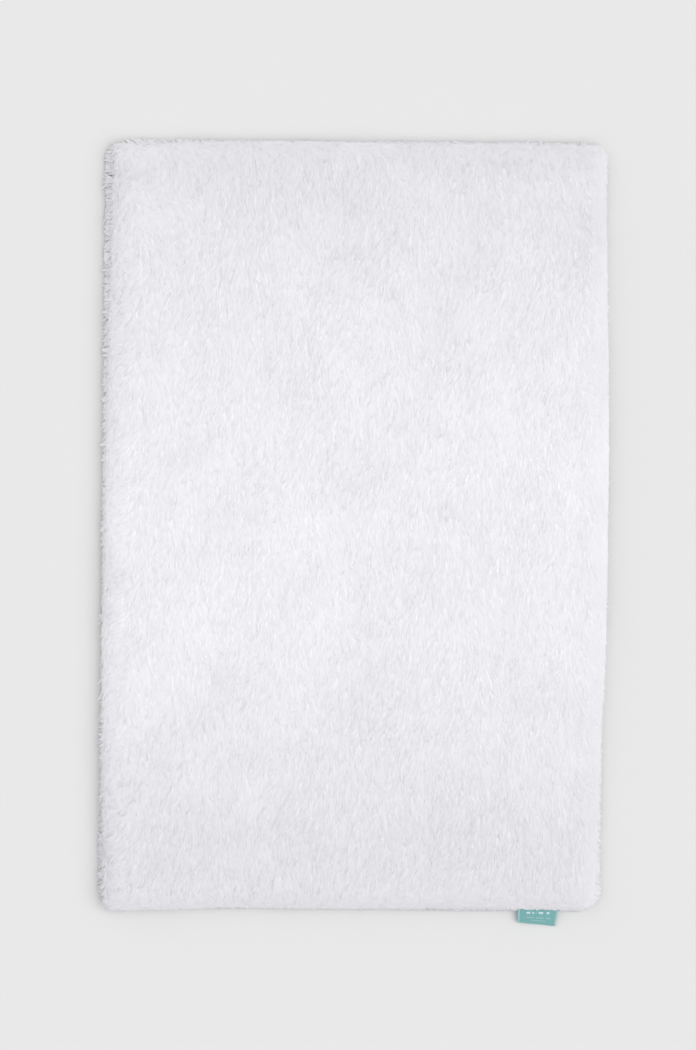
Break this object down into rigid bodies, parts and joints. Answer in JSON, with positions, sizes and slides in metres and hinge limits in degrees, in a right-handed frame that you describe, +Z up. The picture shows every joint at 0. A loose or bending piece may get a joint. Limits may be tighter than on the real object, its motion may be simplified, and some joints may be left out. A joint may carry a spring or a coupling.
{
  "type": "bath mat",
  "caption": "Rectangular plush bath mat: long pile cover over a foam slab, dotted non-slip backing, bound edge and a folded ribbon label on one short side.",
  "frame": {"origin": "on the floor, at the middle of the mat's underside, on the flat foot of the grip dot there", "axes": "+Z up, +Y along the mat's long side, +X across it; the label hangs on the -Y side, towards +X"},
  "size_m": [0.5122, 0.8079, 0.029],
  "materials": {
    "pile": "long soft polyester plush pile, matt with a faint sheen",
    "foam": "open-cell foam, matt cream",
    "backing": "plain woven polyester, matt",
    "grip": "clear grey rubbery film with moulded dots, soft satin",
    "tape": "ribbed white binding tape, matt",
    "thread": "twisted polyester sewing thread, slight sheen",
    "ribbon": "teal woven damask ribbon with paler woven bands, satin"
  },
  "bodies": {
    "mat": {"fur_cover": "pile", "foam_core": "foam", "backing_cloth": "backing", "grip_coating": "grip", "edge_binding": "tape", "needle_thread": "thread", "bobbin_thread": "thread", "label_root": "ribbon"},
    "label": {"label_flap": "ribbon"}
  },
  "joints": [
    {"name": "label_swing", "type": "hinge", "parent": "mat", "child": "label", "pos_m": [0.196, -0.3969, 0.0067], "axis": [-1, 0, 0], "range_deg": [0, 108]}
  ]
}
